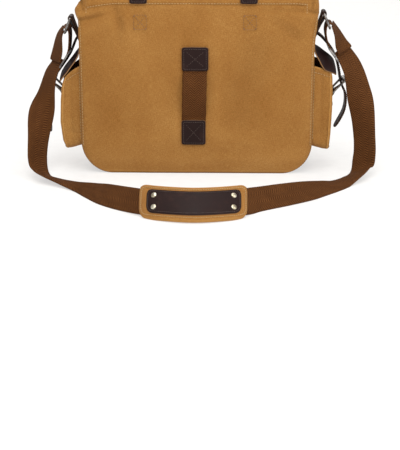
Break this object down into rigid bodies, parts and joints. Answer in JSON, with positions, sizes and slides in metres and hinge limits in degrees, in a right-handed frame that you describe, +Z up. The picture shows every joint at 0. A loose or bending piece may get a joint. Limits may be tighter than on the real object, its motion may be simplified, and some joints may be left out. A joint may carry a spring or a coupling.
{
  "type": "messenger bag",
  "caption": "Canvas messenger bag with a front flap, buckled pockets with snap closures, a leather grab handle, a back band and a padded webbing shoulder strap.",
  "frame": {"origin": "middle of the base, on the surface the bag stands on", "axes": "+X across the width of the bag, +Z up; the flap faces -Y and the plain back faces +Y"},
  "size_m": [0.5293, 0.4128, 0.3354],
  "materials": {
    "canvas": "washed mustard cotton canvas, matte, finely woven, lighter at worn edges",
    "lining": "plain cotton lining, matte",
    "board": "matte stiffening board",
    "leather": "dark brown waxed leather, satin, with tan cut edges",
    "webbing": "brown cotton webbing, twill weave, matte",
    "dark_metal": "antique darkened metal, satin with bright worn edges",
    "antique_brass": "antique brass rivets, satin"
  },
  "bodies": {
    "bag": {"gusset": "canvas", "back_panel": "canvas", "front_panel": "canvas", "flap_back_strip": "canvas", "front_pocket_left": "canvas", "front_pocket_right": "canvas", "side_pocket_left": "canvas", "side_pocket_right": "canvas", "shoulder_pad": "canvas", "lining": "lining", "base_board": "board", "corner_patch_left": "leather", "corner_patch_right": "leather", "back_patch_top": "leather", "back_patch_bottom": "leather", "handle_anchors": "leather", "ring_tab_left": "leather", "ring_tab_right": "leather", "pad_leather": "leather", "back_band": "webbing", "shoulder_strap": "webbing", "strap_loop_left": "webbing", "strap_loop_right": "webbing", "slider_left": "dark_metal", "slider_right": "dark_metal", "snap_sockets": "dark_metal", "name_plate": "dark_metal", "pad_rivets": "antique_brass"},
    "flap_top": {"flap_top": "canvas"},
    "flap_front": {"flap_front": "canvas", "front_belt_left": "leather", "front_belt_right": "leather", "front_buckle_left": "dark_metal", "front_buckle_right": "dark_metal", "front_chape_left": "leather", "front_chape_right": "leather", "front_snap_caps": "dark_metal"},
    "handle": {"handle": "leather"},
    "ring_left": {"ring_left": "dark_metal"},
    "side_belt_left": {"side_belt_left": "leather", "side_buckle_left": "dark_metal", "side_chape_left": "leather", "side_snap_cap_left": "dark_metal"},
    "side_flap_left": {"side_flap_left": "leather"},
    "front_prong_left": {"front_prong_left": "dark_metal"},
    "front_roller_left": {"front_roller_left": "dark_metal"},
    "side_prong_left": {"side_prong_left": "dark_metal"},
    "side_roller_left": {"side_roller_left": "dark_metal"},
    "ring_right": {"ring_right": "dark_metal"},
    "side_belt_right": {"side_belt_right": "leather", "side_buckle_right": "dark_metal", "side_chape_right": "leather", "side_snap_cap_right": "dark_metal"},
    "side_flap_right": {"side_flap_right": "leather"},
    "front_prong_right": {"front_prong_right": "dark_metal"},
    "front_roller_right": {"front_roller_right": "dark_metal"},
    "side_prong_right": {"side_prong_right": "dark_metal"},
    "side_roller_right": {"side_roller_right": "dark_metal"}
  },
  "joints": [
    {"name": "flap_top_hinge", "type": "hinge", "parent": "bag", "child": "flap_top", "pos_m": [0, 0.05, 0.281], "axis": [-1, 0, 0], "range_deg": [0, 70]},
    {"name": "flap_front_hinge", "type": "hinge", "parent": "flap_top", "child": "flap_front", "pos_m": [0, -0.05, 0.2836], "axis": [-1, 0, 0], "range_deg": [0, 180]},
    {"name": "handle_hinge", "type": "hinge", "parent": "bag", "child": "handle", "pos_m": [0, 0.0538, 0.285], "axis": [-1, 0, 0], "range_deg": [-75, 120]},
    {"name": "ring_hinge_left", "type": "hinge", "parent": "bag", "child": "ring_left", "pos_m": [-0.1915, 0.014, 0.242], "axis": [0, 1, 0], "range_deg": [-5, 2]},
    {"name": "side_belt_hinge_left", "type": "hinge", "parent": "bag", "child": "side_belt_left", "pos_m": [-0.183, -0.022, 0.207], "axis": [0, 1, 0], "range_deg": [0, 90]},
    {"name": "side_flap_hinge_left", "type": "hinge", "parent": "bag", "child": "side_flap_left", "pos_m": [-0.1803, 0, 0.191], "axis": [0, 1, 0], "range_deg": [0, 3]},
    {"name": "side_prong_hinge_left", "type": "hinge", "parent": "side_belt_left", "child": "side_prong_left", "pos_m": [-0.211, -0.022, 0.116], "axis": [0, -1, 0], "range_deg": [0, 45]},
    {"name": "side_roller_spin_left", "type": "hinge", "parent": "side_belt_left", "child": "side_roller_left", "pos_m": [-0.228, -0.022, 0.134], "axis": [0, 1, 0], "continuous": true},
    {"name": "front_prong_hinge_left", "type": "hinge", "parent": "flap_front", "child": "front_prong_left", "pos_m": [-0.08, -0.089, 0.097], "axis": [1, 0, 0], "range_deg": [0, 60]},
    {"name": "front_roller_spin_left", "type": "hinge", "parent": "flap_front", "child": "front_roller_left", "pos_m": [-0.08, -0.096, 0.121], "axis": [1, 0, 0], "continuous": true},
    {"name": "ring_hinge_right", "type": "hinge", "parent": "bag", "child": "ring_right", "pos_m": [0.191, 0.014, 0.234], "axis": [0, 1, 0], "range_deg": [0, 5]},
    {"name": "side_belt_hinge_right", "type": "hinge", "parent": "bag", "child": "side_belt_right", "pos_m": [0.183, -0.022, 0.202], "axis": [0, -1, 0], "range_deg": [0, 90]},
    {"name": "side_flap_hinge_right", "type": "hinge", "parent": "bag", "child": "side_flap_right", "pos_m": [0.1803, 0, 0.188], "axis": [0, -1, 0], "range_deg": [0, 3]},
    {"name": "side_prong_hinge_right", "type": "hinge", "parent": "side_belt_right", "child": "side_prong_right", "pos_m": [0.211, -0.022, 0.116], "axis": [0, 1, 0], "range_deg": [0, 45]},
    {"name": "side_roller_spin_right", "type": "hinge", "parent": "side_belt_right", "child": "side_roller_right", "pos_m": [0.228, -0.022, 0.134], "axis": [0, 1, 0], "continuous": true},
    {"name": "front_prong_hinge_right", "type": "hinge", "parent": "flap_front", "child": "front_prong_right", "pos_m": [0.08, -0.089, 0.097], "axis": [1, 0, 0], "range_deg": [0, 60]},
    {"name": "front_roller_spin_right", "type": "hinge", "parent": "flap_front", "child": "front_roller_right", "pos_m": [0.08, -0.096, 0.121], "axis": [1, 0, 0], "continuous": true}
  ],
  "couplings": [
    {"joint": "side_flap_hinge_left", "follows": "side_belt_hinge_left", "ratio": 0.033333},
    {"joint": "side_flap_hinge_right", "follows": "side_belt_hinge_right", "ratio": 0.033333}
  ]
}
